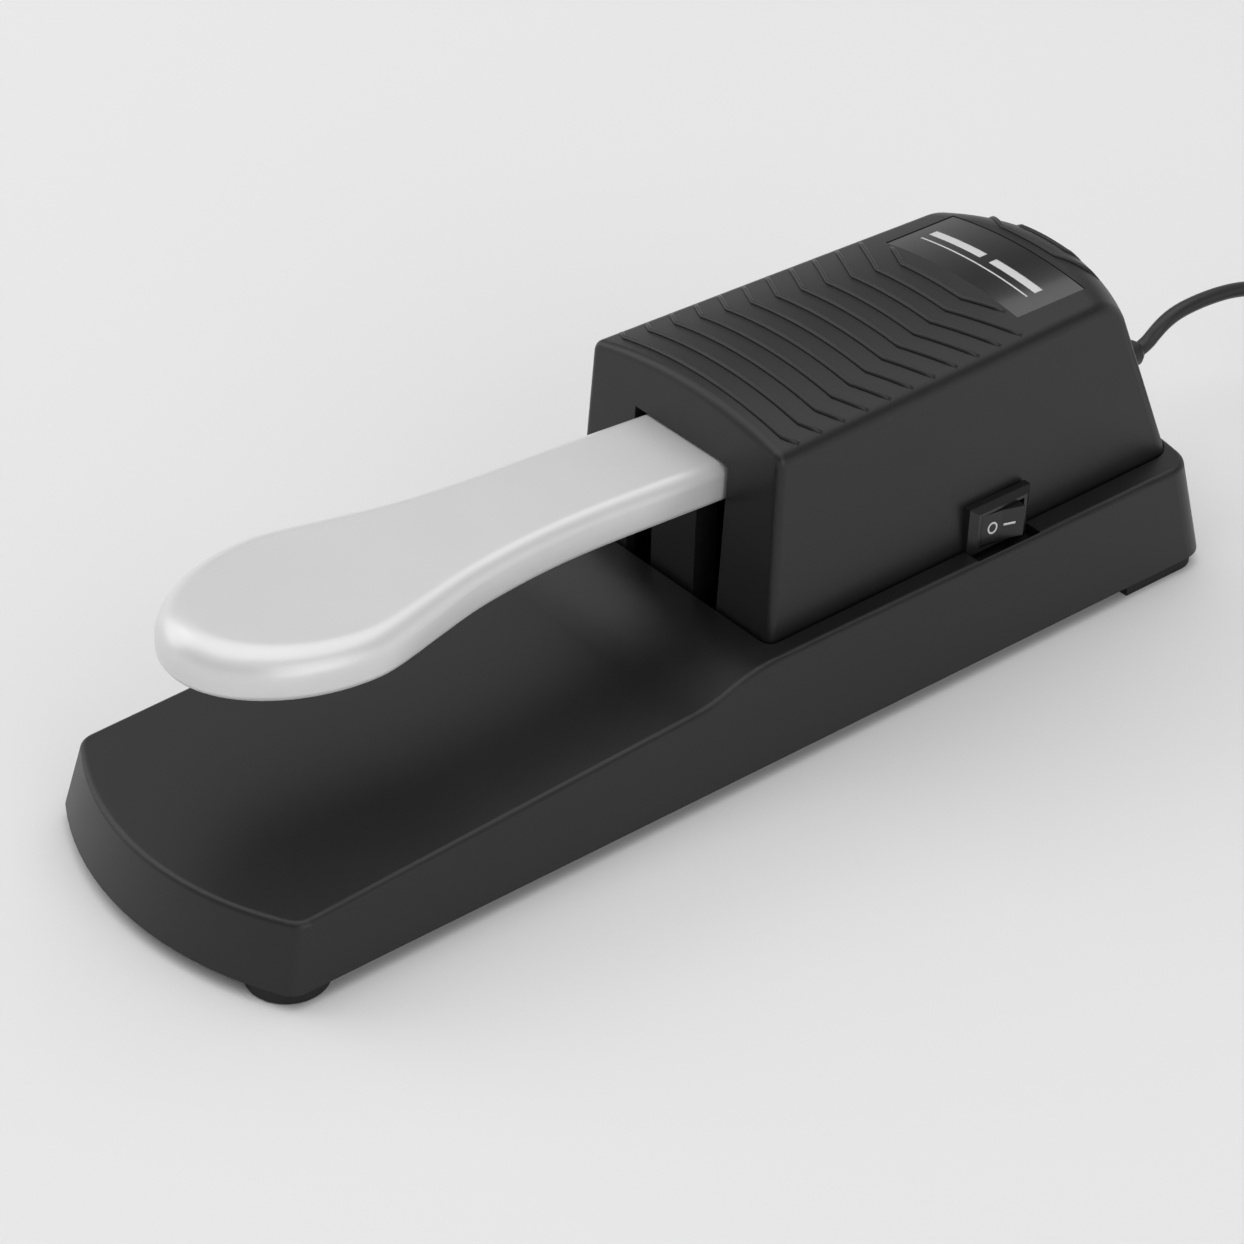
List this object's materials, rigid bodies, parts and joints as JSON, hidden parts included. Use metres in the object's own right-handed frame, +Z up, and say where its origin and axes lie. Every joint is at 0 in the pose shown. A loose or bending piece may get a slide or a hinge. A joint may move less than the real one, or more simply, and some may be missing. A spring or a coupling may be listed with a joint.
{
  "type": "sustain pedal",
  "caption": "Foot-operated sustain pedal: a chrome lever on a sprung hinge in a ribbed black housing on a long base, with a polarity rocker and a cord ending in a phone plug.",
  "frame": {"origin": "on the floor, under the middle of the base", "axes": "+Z up, +Y from the paddle to the cord exit, +X towards the side with the rocker switch"},
  "size_m": [0.0928, 0.3802, 0.0685],
  "materials": {
    "black_plastic": "fine satin texture",
    "label_gloss": "glossy",
    "zinc_steel": "zinc plated",
    "screw_steel": "zinc plated",
    "bright_steel": "ground",
    "spring_steel": "drawn wire",
    "rubber": "matte",
    "chrome": "satin polished",
    "nylon": "natural nylon",
    "felt": "dense felt",
    "switch_case": "moulded",
    "plunger_red": "moulded",
    "brass": "tinned at the ends",
    "switch_black": "semi-gloss",
    "wire_red": "vinyl insulation",
    "wire_white": "vinyl insulation",
    "cord_rubber": "satin vinyl",
    "tie_black": "woven strap",
    "plug_black": "moulded",
    "nickel": "nickel plated",
    "insulator": "moulded"
  },
  "bodies": {
    "root": {"base_shell": "black_plastic", "bottom_plate": "zinc_steel", "bottom_plate_screws": "screw_steel", "bracket_screws": "screw_steel", "cord_coil": "cord_rubber", "cord_lead": "cord_rubber", "cord_tail": "cord_rubber", "cord_tie": "tie_black", "cover_screws": "screw_steel", "down_stop_felt": "felt", "down_stop_post": "black_plastic", "front_foot_left": "rubber", "front_foot_right": "rubber", "label_plate": "label_gloss", "lead_wires": "wire_white", "microswitch_case": "switch_case", "microswitch_nuts": "screw_steel", "microswitch_plate": "zinc_steel", "microswitch_screws": "screw_steel", "microswitch_terminals": "brass", "pin_rings": "spring_steel", "pivot_bracket": "zinc_steel", "pivot_pin": "bright_steel", "plate_screws": "screw_steel", "plug_boot": "plug_black", "plug_handle": "plug_black", "plug_insulator": "insulator", "plug_sleeve": "nickel", "plug_tip": "nickel", "post_screw": "screw_steel", "rear_foot_pad": "rubber", "return_spring": "spring_steel", "rocker_frame": "switch_black", "rocker_terminals": "brass", "spring_seat": "black_plastic", "strain_relief": "cord_rubber", "switch_wires": "wire_red", "top_cover": "black_plastic", "up_stop_felt": "felt"},
    "pedal": {"pedal_lever": "chrome", "lever_bush_left": "nylon", "lever_bush_right": "nylon", "spring_guide": "nylon", "plunger_pad": "nylon"},
    "plunger": {"microswitch_plunger": "plunger_red"},
    "rocker": {"rocker_key": "switch_black"}
  },
  "joints": [
    {"name": "pedal_hinge", "type": "hinge", "parent": "root", "child": "pedal", "pos_m": [0, 0.086, 0.047], "axis": [1, 0, 0], "range_deg": [0, 6], "stiffness_Nm_per_rad": 6, "springref_deg": -11.46, "deforming": ["return_spring"]},
    {"name": "plunger_slide", "type": "slide", "parent": "root", "child": "plunger", "axis": [0, 0, -1], "range_m": [0, 0.0024]},
    {"name": "rocker_hinge", "type": "hinge", "parent": "root", "child": "rocker", "pos_m": [0.0292, 0.0638, 0.0289], "axis": [0, 0, 1], "range_deg": [0, 26]}
  ],
  "couplings": [
    {"joint": "plunger_slide", "follows": "pedal_hinge", "m_per_rad": 0.0224}
  ]
}
